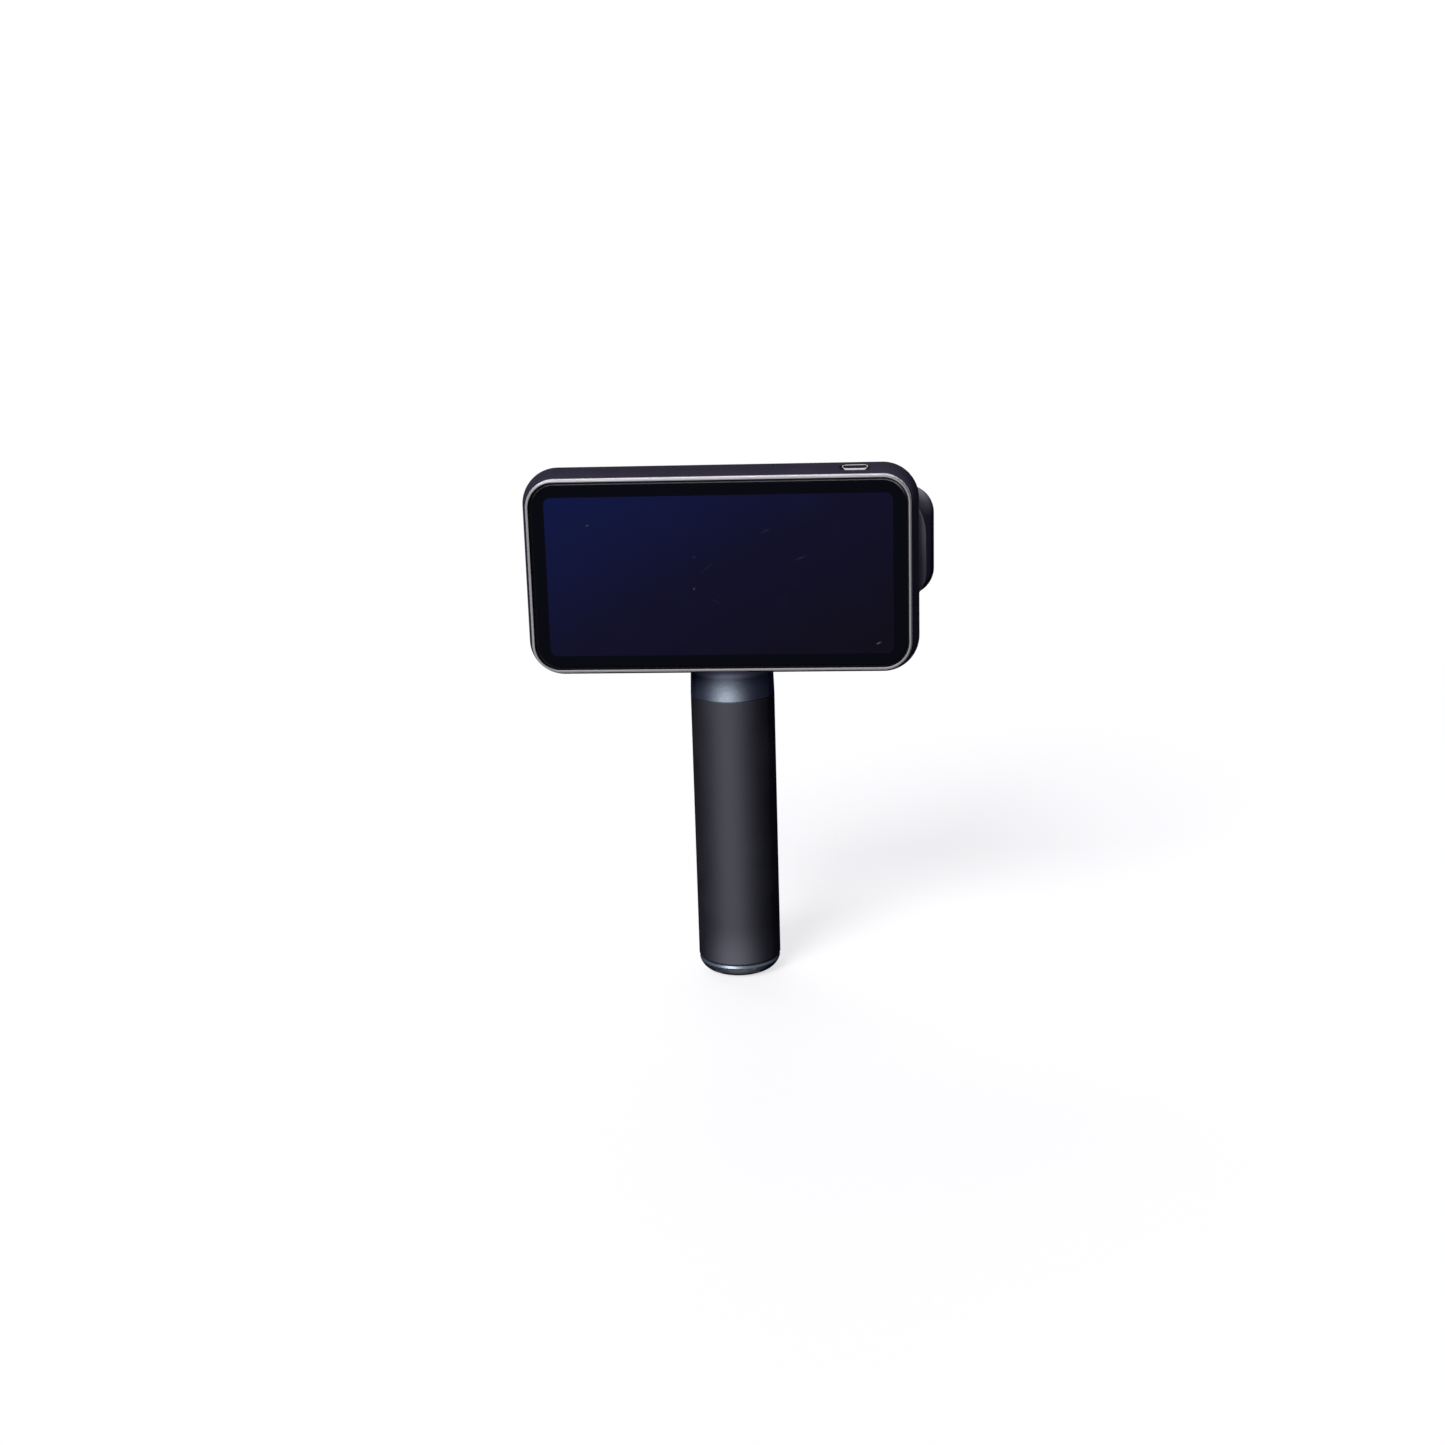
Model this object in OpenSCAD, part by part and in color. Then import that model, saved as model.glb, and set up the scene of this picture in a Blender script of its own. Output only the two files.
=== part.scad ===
// Handheld microchip scanner: a touch-screen head with a rear antenna pod on an upright round handle.
// Millimetres. The origin is the middle of the foot under the handle.
// +Z is up, the screen faces -Y, and +X is to the right of someone who looks at the screen.

/* [Head] */
// Width of the silver bezel
head_w = 148; // [140:1:160]
// Height of the silver bezel
head_h = 75.8; // [74:0.1:90]
// Corner radius of the bezel
head_r = 11; // [10:0.5:14]
// How far the shell stands out past the bezel at its widest line
flare = 3; // [2:0.1:4]
// Depth from the glass to the widest line of the shell
flare_depth = 12; // [11.5:0.5:15]
// Rounding of the shell from its widest line to its back
back_round = 10; // [8:0.5:12]
// Wall of the shell
wall = 2.2; // [1.8:0.1:2.6]
// How far the glass stands in front of the handle's axis
glass_ahead = 19; // [17.5:0.5:22]
// How far the middle of the head stands to the left of the handle's axis
head_shift = 2.4; // [0:0.1:5]

/* [Screen] */
// Gap between the display panel and its ledge, left and right
panel_gap_side = 1.1; // [0.4:0.1:6]
// Gap between the display panel and its ledge, above and below
panel_gap_end = 0.55; // [0.3:0.05:3]
// How far the lit area sits below the middle of the bezel
screen_drop = 0.3; // [0:0.1:0.6]
// Corner radius of the lit area
screen_r = 2.8; // [1:0.1:6]
// Unlit edge of the display panel
panel_edge = 1.2; // [0.8:0.1:1.2]
// Thickness of the cover glass
glass_t = 1.1; // [0.7:0.1:1.3]
// Bevel on the front edge of the glass
glass_bevel = 0.5; // [0.2:0.05:0.6]
// Thickness of the adhesive gasket under the glass
gasket_t = 0.3; // [0.2:0.05:0.4]

/* [Bezel] */
// Width of the bezel's front face
bezel_face = 1.05; // [0.95:0.05:1.4]
// How far the bezel stands proud of the glass
bezel_proud = 1.4; // [0.9:0.1:1.8]
// Rounding of the bezel's outer edge
bezel_round = 0.7; // [0.3:0.1:0.7]
// Rounding of the bezel's inner edge
bezel_in_round = 0.2; // [0.1:0.05:0.25]
// Depth of the seam between bezel and shell
rim_depth = 2.2; // [2.1:0.1:2.6]
// Width of the ledge that carries the glass
ledge_w = 3.65; // [3.3:0.05:3.75]
// Thickness of the ledge
ledge_t = 1.6; // [1.2:0.1:1.8]
// Length of the locating skirt inside the shell
skirt_len = 3.2; // [2.6:0.1:3.6]
// Thickness of the skirt
skirt_t = 1; // [0.8:0.1:1.1]

/* [Head internals] */
// Thickness of the mid frame
frame_t = 1.4; // [1:0.1:1.6]
// Height of the board standoffs
standoff_h = 3.2; // [2.6:0.1:3.4]
// Thickness of the circuit boards
board_t = 1.6; // [1:0.1:1.6]
// Left end of the main board, from the middle of the head
board_left = 70; // [66:0.5:71]
// Right end of the main board, from the middle of the head
board_right = 44; // [43:0.5:50]
// Height of the main board
board_h = 42; // [40:0.5:42]
// Width of the processor shield
shield_w = 34; // [20:1:40]
// Height of the processor shield
shield_h = 26; // [16:1:30]
// Rise of the processor shield above the board
shield_rise = 2.4; // [1.5:0.1:2.6]
// Width of the speaker
speaker_w = 22; // [16:1:26]
// Height of the speaker
speaker_h = 14; // [10:1:16]
// Depth of the speaker
speaker_t = 4; // [3:0.5:5]
// Number of sound slots in the back
slot_count = 5; // [3:1:6]

/* [Power key] */
// Place of the key, to the right of the head's middle
key_x = 52.7; // [40:0.1:56]
// Depth of the key's middle behind the glass
key_depth = 5.95; // [5.9:0.05:6.5]
// Length of the key
key_len = 9.7; // [8:0.1:11]
// Width of the key
key_w = 3.1; // [2.6:0.1:3.1]
// How far the key stands proud of the shell
key_proud = 0.22; // [0:0.02:0.4]
// Travel of the key
key_travel = 0.5; // [0.3:0.05:0.6]
// Length of the pocket around the key
pocket_len = 12; // [11.5:0.1:13]
// Width of the pocket around the key
pocket_w = 4.7; // [4.5:0.1:4.9]

/* [Antenna pod] */
// Width of the pod
pod_w = 46; // [44:0.5:50]
// Height of the pod
pod_h = 44; // [42:0.5:48]
// Corner radius of the pod
pod_r = 11; // [10:0.5:14]
// Rounding of the pod's edges, half its depth
pod_edge = 8; // [7.5:0.1:9]
// Wall of the pod
pod_wall = 2; // [1.5:0.1:2.2]
// How far the pod reaches past the side of the shell
pod_overhang = 6.1; // [4:0.1:8]
// Height of the pod's middle above the head's middle
pod_lift = 6.7; // [4:0.1:6.8]
// How far the saddle's sides lie inside the pod's
saddle_inset = 3.4; // [2.5:0.1:4]
// Height of the saddle
saddle_h = 46.5; // [44:0.5:48]
// Radius of the saddle's upper corners
saddle_top_r = 19; // [12:0.5:19]
// Radius of the saddle's lower corners
saddle_low_r = 14; // [8:0.5:15]
// Thickness of the saddle behind the shell
saddle_t = 4; // [3:0.5:6]
// How far the saddle wraps forward over the shell's side
saddle_wrap = 7; // [4:0.5:8]

/* [Handle] */
// Height from the foot to the underside of the head
handle_len = 127.3; // [122:0.1:140]
// Diameter of the grip
grip_d = 33.6; // [32.6:0.1:34]
// Height of the collar that shows under the head
collar_h = 10.6; // [9:0.1:13]
// How much narrower the collar's radius is at its top
collar_draft = 0.4; // [0:0.05:0.5]
// Wall of the handle tube
tube_wall = 2.4; // [2:0.1:2.8]
// Diameter of the spigot that enters the head
spigot_d = 22; // [20:0.5:23]
// Diameter of the wire passage
passage_d = 13; // [8:0.5:14]
// Height of the spigot
spigot_h = 14.8; // [13:0.1:14.8]
// Height at which the dome of the neck starts, above the collar
dome_rise = 26; // [22:1:32]

/* [Foot] */
// Rounding of the foot
base_round = 6.5; // [5:0.1:7]
// Height of the turning cap
cap_h = 4.3; // [4:0.1:4.8]
// Height of the bright ring
ring_h = 1.1; // [1:0.1:1.4]
// Height of the bevel on the ring
ring_bevel = 0.85; // [0.5:0.05:0.9]
// Width of the dark gap over the ring
ring_groove = 0.7; // [0.4:0.1:0.8]
// Running gap between ring and cap
cap_gap = 0.3; // [0.2:0.05:0.4]
// Number of finger notches
notch_count = 6; // [4:1:10]
// Radius of a finger notch
notch_r = 1.5; // [1:0.1:1.8]
// Height of a finger notch
notch_h = 2.6; // [1.5:0.1:3]
// Thickness of the foot pad
foot_t = 1; // [0.8:0.1:1.2]
// How far the foot pad stands out of the cap
foot_proud = 0.3; // [0.2:0.05:0.5]

/* [Battery] */
// Diameter of the cell
cell_d = 21.2; // [18.4:0.1:21.2]
// Gap around the cell
cell_clear = 0.4; // [0.3:0.05:0.5]
// Length of the cell
cell_len = 70.5; // [65:0.5:70.5]
// Length of the battery spring
spring_len = 20; // [16:0.5:22]

/* [Fits] */
// Gap between fixed pieces
fit_gap = 0.05; // [0.03:0.01:0.08]
// Gap around the key and the cap's stem
run_gap = 0.1; // [0.08:0.01:0.1]
// Visible gap around the glass
glass_gap = 0.65; // [0.4:0.05:0.7]

/* [Hidden] */
$fn = 64;
eps = 0.5;

// Depths behind the glass
ledge_front = glass_t + gasket_t;
ledge_back = ledge_front + ledge_t;
skirt_end = rim_depth + skirt_len;
frame_back = ledge_back + frame_t;
board_front = frame_back + standoff_h;
board_back = board_front + board_t;
boss_split = flare_depth;
head_depth = flare_depth + back_round;
back_inner = head_depth - wall;

// The shell's flank is an arc from the rim to the widest line
rim_out = 0.3;
flare_rise = flare - rim_out;
flare_run = flare_depth - rim_depth;
flare_arc = round(100 * (pow(flare_rise, 2) + pow(flare_run, 2)) / (2 * flare_rise)) / 100;
flare_axis = head_r + flare - flare_arc;
rim_inner = flare_axis + sqrt(pow(flare_arc - wall, 2) - pow(flare_run, 2));
rim_inset = ceil(100 * (head_r - rim_inner)) / 100;

// Distances inward from the bezel's outer edge
seat_gap = 0.15;
glass_inset = bezel_face + glass_gap;
ledge_in = bezel_face + ledge_w;
skirt_out = rim_inset + seat_gap;
skirt_in = skirt_out + skirt_t;
frame_inset = skirt_in + seat_gap;

// Lit area of the display, inside the ledge
screen_w = head_w - 2 * (ledge_in + panel_gap_side + panel_edge);
screen_h = head_h - 2 * (ledge_in + panel_gap_end + panel_edge + screen_drop);

// Heights of the handle
grip_r = grip_d / 2;
bore_r = cell_d / 2 + cell_clear;
tube_r = bore_r + tube_wall;
spigot_r = spigot_d / 2;
passage_r = passage_d / 2;
foot_edge = 0.8;
foot_r = grip_r - base_round - foot_edge;
ring_low = cap_h + cap_gap;
ring_top = ring_low + ring_h;
bevel_low = ring_top - ring_bevel;
bevel_angle = 30;
sleeve_low = ring_top + ring_groove;
collar_low = handle_len - collar_h;
bezel_low = handle_len + flare;
neck_seam = 0.2;
collar_top = bezel_low - neck_seam;
neck_r = grip_r - collar_draft;
tube_seat = 8;
tube_top = collar_low + tube_seat;
spigot_top = collar_top + spigot_h;
spigot_gap = 0.4;
socket_top = spigot_top + spigot_gap;
dome_z = collar_top + dome_rise;
neck_wall = 2.8;
neck_clear = 0.3;
neck_front = skirt_end + neck_clear;
head_z = handle_len + flare + head_h / 2;

// Bayonet of the cap
stem_r = bore_r - run_gap;
stem_rise = 6.6;
stem_top = sleeve_low + stem_rise;
lug_out = 1;
lug_drop = 3;
lug_low = stem_top - lug_drop;
lug_h = 2;
lug_angle = 24;
lug_gap = 0.3;
cap_turn = 60;
seal_r = 0.7;
seal_rise = 1.6;
seal_z = sleeve_low + seal_rise;

// Battery stack, from the stem up
cell_gap = 0.3;
cell_low = stem_top + spring_len + cell_gap;
cell_top = cell_low + cell_len;
pin_r = 2;
pin_head_h = 2.5;
holder_low = cell_top + pin_head_h;
holder_h = 5;
holder_top = holder_low + holder_h;
spring_wire = 1;
spring_in = 4;
spring_taper = 2;
spring_wide = bore_r - spring_in;
spring_narrow = spring_wide - spring_taper;

// Screws
screw_r = 1.25;
screw_head_r = 2.4;
screw_head_h = 1.8;
hole_gap = 0.15;
hole_r = screw_r + hole_gap;
pilot_r = screw_r + fit_gap;
sink_gap = 0.2;
sink_r = screw_head_r + sink_gap;
sink_depth = 2.4;
boss_r = 3.2;
screw_in_x = 14;
screw_in_y = 12.5;
screw_x = head_w / 2 - screw_in_x;
screw_y = head_h / 2 - screw_in_y;
screw_mid_x = 24;
screw_places = [[-screw_x, screw_y], [-screw_x, -screw_y], [screw_x, -screw_y], [screw_mid_x, screw_y]];
screw_bite = 4;
screw_tip = boss_split - screw_bite;

// Main board and what stands on it
board_w = board_left + board_right;
board_x = (board_right - board_left) / 2;
board_corner = 2;
stud_r = 2.4;
stud_hole_r = 0.85;
stud_inset_x = 6;
stud_inset_y = 4;
stud_screw_r = 0.8;
stud_head_r = 1.6;
stud_head_h = 1;
stud_places = [for (x = [-board_left + stud_inset_x, board_right - stud_inset_x])
    for (y = [-1, 1]) [x, y * (board_h / 2 - stud_inset_y)]];
shield_wall = 0.4;
shield_corner = 1.5;
shield_x = -10;

// Flexible strip of the display
flex_x = -34;
flex_w = 18;
flex_t = 0.2;
flex_in = 4;
flex_y = -screen_h / 2 + flex_in;
flex_plug = 3;
flex_plug_in = 0.2;
flex_reach = flex_plug + flex_plug_in - board_h / 2 - flex_y;
flex_slot = 1.2;
flex_gap = 1.4;
flex_depth = frame_back + flex_gap;

// Speaker and its slots
speaker_x = -40;
speaker_y = -17;
speaker_corner = 3;
speaker_rim = 2;
speaker_dish = 1;
slot_w = 1.4;
slot_len = speaker_h - 2 * speaker_rim;
slot_pitch = 3.4;
slot_places = [for (i = [0 : slot_count - 1]) speaker_x + (i - (slot_count - 1) / 2) * slot_pitch];

// USB-C receptacle on the main board, in the left wall
usb_w = 8.94;
usb_t = 3.26;
usb_len = 9;
usb_wall = 0.3;
usb_depth = board_back + usb_t / 2;
usb_back_in = 0.9;
usb_mouth = head_w / 2 + flare - usb_back_in;
usb_clear = 0.25;
tongue_w = 6.6;
tongue_t = 0.7;
tongue_in = 1;

// Power key, its pad and its switch
pocket_step = 0.3;
pocket_floor = head_h / 2 + pocket_step;
key_over = pocket_floor + 2 * flare;
pad_t = 2.2;
pad_low = pocket_floor - pad_t;
pad_edge = 2;
pad_len = pocket_len + 2 * pad_edge;
pad_front = ledge_back + seat_gap;
pad_back = key_depth + pocket_w / 2 + pad_edge / 2;
flange_t = 1;
flange_extra = 1.6;
flange_len = key_len + 2 * flange_extra;
flange_top = pad_low - run_gap;
flange_low = flange_top - flange_t;
switch_gap = key_travel + run_gap;
plunger_top = flange_low - switch_gap;
plunger_h = 0.4;
plunger_r = 0.8;
switch_h = 1.6;
switch_w = 6;
switch_d = 2.6;
key_board_t = 0.8;
key_board_w = 14;
key_board_d = 2 * (key_depth - frame_back - seat_gap);
rib_top = plunger_top - plunger_h - switch_h - key_board_t;
rib_t = 1.6;
rib_edge = 1;

// Antenna pod
pod_x = head_w / 2 + flare + pod_overhang - pod_w / 2;
pod_front = head_depth + saddle_t;
pod_mid = pod_front + pod_edge;
pod_back = pod_front + 2 * pod_edge;
saddle_front = head_depth - saddle_wrap;
pod_screw_left = 14;
pod_screw_right = 4;
pod_screw_y = 14;
pod_screw_places = [for (x = [-pod_screw_left, pod_screw_right]) for (y = [-1, 1]) [x, y * pod_screw_y]];
pod_screw_bite = 4;
pod_screw_tip = pod_front + pod_screw_bite;
pod_boss_r = 2.6;
pod_boss_h = 5;
pod_board_front = pod_front + pod_boss_h;
pod_board_t = 1.2;
pod_board_back = pod_board_front + pod_board_t;
pod_board_in = 5;
pod_board_w = pod_w - 2 * pod_board_in;
pod_board_h = pod_h - 2 * pod_board_in;
pod_board_r = pod_r - pod_board_in;
bobbin_back = pod_back - pod_wall;
bobbin_w = pod_w - 2 * pod_edge;
bobbin_h = pod_h - 2 * pod_edge;
bobbin_r = 8;
bobbin_flange = 1;
core_in = 4;
core_wall = 1.2;
core_r = bobbin_r - core_in;
coil_in = 0.5;
ferrite_gap = 0.3;
ferrite_len = 6;
lead_r = 1.2;
lead_hole_r = 2.5;
pod_lead_x = -6;
lead_in = 7;
lead_turn = head_depth - lead_in;
lead_end_in = 4;
lead_end_x = board_right - lead_end_in;
target_r = 13;
target_w = 1.2;
target_depth = 0.5;

// Battery lead
power_r = 1.5;
power_rise = 4.4;
power_turn_z = socket_top + power_rise;
plug_w = 6;
plug_h = 4;
plug_t = 3;

// Neck screws, one over the other in the back of the neck
neck_screw_rise = 4.4;
neck_screw_pitch = 6;
neck_screw_low = collar_top + neck_screw_rise;
neck_screw_z = [neck_screw_low, neck_screw_low + neck_screw_pitch];
neck_screw_len = 6;
neck_head_y = neck_r - sink_depth;

// Colours, as the photo shows them
shell_dark = [0.17, 0.17, 0.21];
silver = [0.74, 0.75, 0.78];
black_glass = [0.03, 0.03, 0.06];
collar_grey = [0.36, 0.40, 0.46];
grip_grey = [0.24, 0.24, 0.27];
saddle_grey = [0.28, 0.28, 0.31];
board_green = [0.10, 0.30, 0.20];
brass = [0.78, 0.62, 0.30];
steel = [0.60, 0.61, 0.63];
soft_black = [0.08, 0.08, 0.09];

// The head's own frame: x to the right, y up, z the depth behind the glass, from the bezel's middle
module in_head() {
    translate([-head_shift, -glass_ahead, head_z]) rotate([90, 0, 0]) mirror([0, 0, 1]) children();
}

// The pod's frame: the head's frame, moved to the pod's middle
module in_pod() {
    in_head() translate([pod_x, pod_lift, 0]) children();
}

module rounded_rect(w, h, r) {
    square([w, h - 2 * r], center = true);
    square([w - 2 * r, h], center = true);
    for (x = [-1, 1]) for (y = [-1, 1]) translate([x * (w / 2 - r), y * (h / 2 - r)]) circle(r);
}

module pill(len, w) {
    square([len - w, w], center = true);
    for (x = [-1, 1]) translate([x * (len - w) / 2, 0]) circle(w / 2);
}

module plate(w, h, r, z0, z1) {
    translate([0, 0, z0]) linear_extrude(z1 - z0) rounded_rect(w, h, r);
}

module head_plate(inset, z0, z1) {
    plate(head_w - 2 * inset, head_h - 2 * inset, head_r - inset, z0, z1);
}

// Sweeps a profile around a rounded rectangle. The profile's x runs outward from the corner's axis.
module around(w, h, r) {
    for (x = [0, 1]) for (y = [0, 1]) mirror([x, 0, 0]) mirror([0, y, 0])
        translate([w / 2 - r, h / 2 - r, 0]) rotate_extrude(angle = 90) children();
    for (x = [0, 1]) mirror([x, 0, 0]) translate([w / 2 - r, 0, 0])
        rotate([90, 0, 0]) linear_extrude(h - 2 * r, center = true) children();
    for (y = [0, 1]) mirror([0, y, 0]) translate([0, h / 2 - r, 0])
        rotate([90, 0, 90]) linear_extrude(w - 2 * r, center = true) children();
}

// The same sweep with its middle filled
module slab(w, h, r, z0, z1) {
    around(w, h, r) children();
    translate([r - w / 2, r - h / 2, z0]) cube([w - 2 * r, h - 2 * r, z1 - z0]);
}

// Cross-section of the shell's flank and back edge, moved inward by inset
module shell_profile(inset, front) {
    intersection() {
        translate([flare_axis, flare_depth]) circle(flare_arc - inset);
        translate([0, front]) square([head_r + 2 * flare, flare_depth - front]);
    }
    intersection() {
        translate([head_r + flare - back_round, flare_depth]) circle(back_round - inset);
        translate([0, flare_depth]) square([head_r + 2 * flare, back_round]);
    }
    translate([0, flare_depth]) square([head_r + flare - back_round, back_round - inset]);
}

module shell_solid(inset, front) {
    slab(head_w, head_h, head_r, front, head_depth - inset) shell_profile(inset, front);
}

module screw(z_tip, z_head, r, head_r, head_h) {
    translate([0, 0, z_tip]) cylinder(r = r, h = z_head - z_tip);
    difference() {
        translate([0, 0, z_head]) cylinder(r = head_r, h = head_h);
        translate([0, 0, z_head + head_h / 2]) cylinder(r = head_r / 2, h = head_h, $fn = 6);
    }
}

module front_bezel() {
    color(silver) in_head() difference() {
        around(head_w, head_h, head_r) translate([head_r, 0]) polygon(concat(
            [[0, rim_depth]],
            [for (a = [0 : 10 : 90])
                [bezel_round * (cos(a) - 1), bezel_round * (1 - sin(a)) - bezel_proud]],
            [for (a = [90 : 30 : 180])
                [bezel_in_round * (1 + cos(a)) - bezel_face, bezel_in_round * (1 - sin(a)) - bezel_proud]],
            [[-bezel_face, ledge_front], [-ledge_in, ledge_front], [-ledge_in, ledge_back],
             [-skirt_in, ledge_back], [-skirt_in, skirt_end], [-skirt_out, skirt_end],
             [-skirt_out, rim_depth]]));
        translate([key_x - flange_len / 2 - eps, head_h / 2 - skirt_in - eps, ledge_back])
            cube([flange_len + 2 * eps, skirt_t + 2 * eps, skirt_end - ledge_back + eps]);
    }
}

module cover_glass() {
    r = head_r - glass_inset;
    color(black_glass) in_head()
        slab(head_w - 2 * glass_inset, head_h - 2 * glass_inset, r, 0, glass_t)
            polygon([[0, 0], [r - glass_bevel, 0], [r, glass_bevel], [r, glass_t], [0, glass_t]]);
}

module glass_gasket() {
    color(soft_black) in_head() difference() {
        head_plate(bezel_face + seat_gap, glass_t, ledge_front);
        head_plate(ledge_in - seat_gap, glass_t - eps, ledge_front + eps);
    }
}

module display_panel() {
    w = screen_w + 2 * panel_edge;
    h = screen_h + 2 * panel_edge;
    color([0.06, 0.07, 0.16]) in_head() translate([0, -screen_drop, 0])
        plate(w, h, screen_r + panel_edge, glass_t, ledge_back);
}

module display_flex() {
    color([0.55, 0.38, 0.12]) in_head() translate([flex_x - flex_w / 2, flex_y, 0]) {
        translate([0, 0, ledge_back]) cube([flex_w, flex_t, flex_depth - ledge_back]);
        translate([0, 0, flex_depth]) cube([flex_w, flex_reach, flex_t]);
        translate([0, flex_reach - flex_plug, flex_depth + flex_t])
            cube([flex_w, flex_plug, board_front - flex_depth - flex_t]);
    }
}

module mid_frame() {
    rib_len = key_board_w + 2 * rib_edge;
    color(steel) in_head() difference() {
        union() {
            head_plate(frame_inset, ledge_back, frame_back);
            for (p = screw_places) translate([p[0], p[1], frame_back])
                cylinder(r = boss_r, h = boss_split - frame_back);
            for (p = stud_places) translate([p[0], p[1], frame_back])
                cylinder(r = stud_r, h = standoff_h);
            translate([key_x - rib_len / 2, rib_top - rib_t, frame_back])
                cube([rib_len, rib_t, key_depth + key_board_d / 2 - frame_back]);
        }
        for (p = screw_places) translate([p[0], p[1], screw_tip - eps])
            cylinder(r = pilot_r, h = head_depth);
        for (p = stud_places) translate([p[0], p[1], ledge_back - eps])
            cylinder(r = stud_hole_r, h = head_depth);
        translate([flex_x - flex_w / 2 - eps, flex_y - flex_slot / 2, ledge_back - eps])
            cube([flex_w + 2 * eps, flex_slot + flex_t, frame_t + 2 * eps]);
    }
}

module main_board() {
    color(board_green) in_head() difference() {
        translate([board_x, 0, 0]) plate(board_w, board_h, board_corner, board_front, board_back);
        for (p = stud_places) translate([p[0], p[1], board_front - eps])
            cylinder(r = stud_hole_r, h = board_t + 2 * eps);
    }
}

module processor_shield() {
    color(silver) in_head() translate([shield_x, 0, 0]) difference() {
        plate(shield_w, shield_h, shield_corner, board_back, board_back + shield_rise);
        plate(shield_w - 2 * shield_wall, shield_h - 2 * shield_wall, shield_corner - shield_wall,
            board_back - eps, board_back + shield_rise - shield_wall);
    }
}

module board_screws() {
    color(steel) in_head() for (p = stud_places) translate([p[0], p[1], 0])
        screw(frame_back, board_back, stud_screw_r, stud_head_r, stud_head_h);
}

module speaker() {
    color(soft_black) in_head() translate([speaker_x, speaker_y, 0]) difference() {
        plate(speaker_w, speaker_h, speaker_corner, back_inner - speaker_t, back_inner);
        translate([0, 0, back_inner - speaker_dish]) linear_extrude(speaker_dish + eps)
            pill(speaker_w - 2 * speaker_rim, speaker_h - 2 * speaker_rim);
    }
}

module usb_port() {
    color(steel) in_head() translate([-usb_mouth, 0, usb_depth]) rotate([90, 0, 90]) {
        difference() {
            linear_extrude(usb_len) pill(usb_w, usb_t);
            translate([0, 0, -eps]) linear_extrude(usb_len - usb_wall + eps)
                pill(usb_w - 2 * usb_wall, usb_t - 2 * usb_wall);
        }
        translate([-tongue_w / 2, -tongue_t / 2, tongue_in])
            cube([tongue_w, tongue_t, usb_len - tongue_in - usb_wall / 2]);
    }
}

// Wall and holes of the neck that takes the collar's spigot, with a dome over it
module neck_solid() {
    back_y = back_inner - glass_ahead;
    front_y = neck_front - glass_ahead;
    intersection() {
        translate([0, 0, collar_top]) cylinder(r = neck_r, h = socket_top - collar_top);
        translate([-neck_r, front_y, collar_top]) cube([2 * neck_r, 2 * neck_r + eps, neck_r * 2]);
    }
    intersection() {
        union() {
            translate([0, 0, collar_top]) cylinder(r = neck_r, h = dome_rise);
            translate([0, 0, dome_z]) sphere(neck_r);
        }
        translate([-neck_r, back_y, collar_top]) cube([2 * neck_r, 2 * neck_r, dome_rise + neck_r]);
    }
}

module neck_cuts() {
    inner_r = neck_r - neck_wall;
    translate([0, 0, collar_top - eps]) cylinder(r = spigot_r + fit_gap, h = spigot_h + 2);
    translate([0, 0, socket_top]) cylinder(r = inner_r, h = dome_z - socket_top);
    translate([0, 0, dome_z]) sphere(inner_r);
    translate([0, 0, collar_low])
        cylinder(r1 = grip_r + fit_gap, r2 = neck_r + fit_gap, h = collar_top - collar_low);
    for (z = neck_screw_z) translate([0, 0, z]) rotate([-90, 0, 0]) {
        cylinder(r = hole_r, h = neck_r + eps);
        translate([0, 0, neck_r - sink_depth]) cylinder(r = sink_r, h = sink_depth + eps);
    }
}

module key_cuts() {
    translate([key_x, 0, key_depth]) rotate([-90, 0, 0]) {
        translate([0, 0, pocket_floor]) linear_extrude(2 * flare) pill(pocket_len, pocket_w);
        linear_extrude(head_h / 2 + flare) pill(key_len + 2 * run_gap, key_w + 2 * run_gap);
    }
}

module rear_housing() {
    color(shell_dark) difference() {
        union() {
            in_head() difference() {
                shell_solid(0, rim_depth);
                shell_solid(wall, rim_depth - eps);
            }
            neck_solid();
            in_head() for (p = screw_places) translate([p[0], p[1], boss_split])
                cylinder(r = boss_r, h = back_inner + 1 - boss_split);
            in_head() intersection() {
                shell_solid(0, rim_depth);
                translate([key_x - pad_len / 2, pad_low, pad_front])
                    cube([pad_len, 2 * flare + pad_t, pad_back - pad_front]);
            }
        }
        neck_cuts();
        in_head() {
            key_cuts();
            for (p = screw_places) translate([p[0], p[1], 0]) {
                translate([0, 0, boss_split - eps]) cylinder(r = hole_r, h = head_depth);
                translate([0, 0, head_depth - sink_depth]) cylinder(r = sink_r, h = sink_depth + eps);
            }
            translate([pod_x, pod_lift, back_inner - eps]) pod_holes(saddle_t);
            translate([-head_w / 2 - flare - eps, 0, usb_depth]) rotate([90, 0, 90])
                linear_extrude(wall + flare + eps) pill(usb_w + 2 * usb_clear, usb_t + 2 * usb_clear);
            for (x = slot_places) translate([x, speaker_y, back_inner - eps])
                linear_extrude(wall + 2 * eps) rotate(90) pill(slot_len, slot_w);
        }
    }
}

// Screw holes and the lead's hole, shared by the shell, the saddle and the pod
module pod_holes(len) {
    for (p = pod_screw_places) translate([p[0], p[1], 0]) cylinder(r = hole_r, h = len);
    translate([pod_lead_x, 0, 0]) cylinder(r = lead_hole_r, h = len);
}

module housing_screws() {
    color(steel) in_head() for (p = screw_places) translate([p[0], p[1], 0])
        screw(screw_tip, head_depth - sink_depth, screw_r, screw_head_r, screw_head_h);
}

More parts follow.
